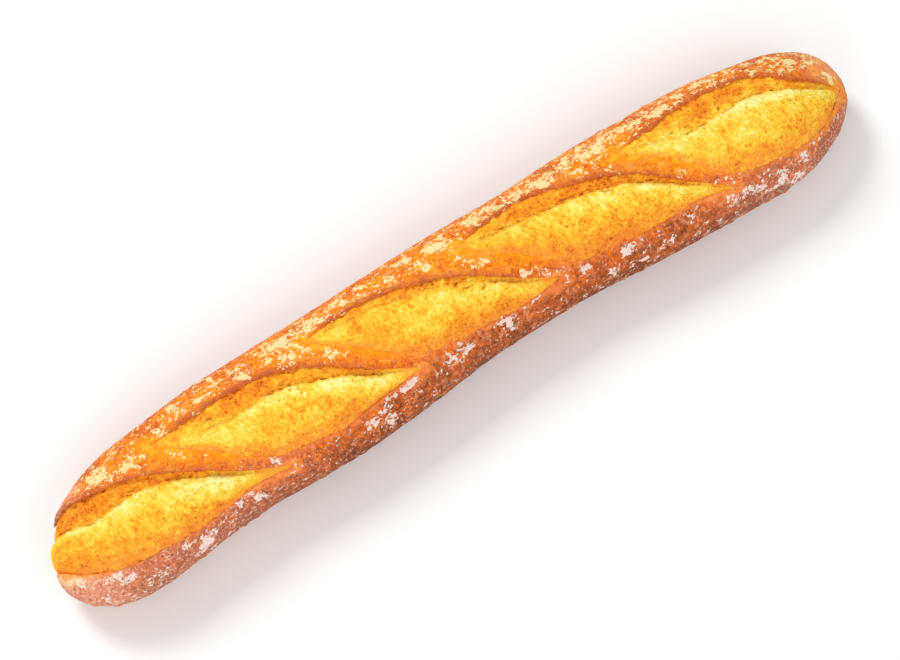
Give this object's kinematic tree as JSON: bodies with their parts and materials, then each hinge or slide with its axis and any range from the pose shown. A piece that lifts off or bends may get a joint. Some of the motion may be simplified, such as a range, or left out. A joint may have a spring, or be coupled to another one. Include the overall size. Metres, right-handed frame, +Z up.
{
  "type": "baguette",
  "caption": "Long narrow loaf of bread with a golden crust, rounded ends, a flat underside and slanting cuts that opened in the oven, dusted with flour.",
  "frame": {"origin": "on the flat underside, below the middle of the loaf's length and width", "axes": "+X along the loaf's length, towards the end with the wide blunt opening; +Z up, out of the crown; +Y towards the side where the lips of the cuts stand up"},
  "size_m": [0.476, 0.0796, 0.0545],
  "materials": {
    "crust": "matte, baked"
  },
  "bodies": {
    "root": {"loaf": "crust"}
  },
  "joints": []
}
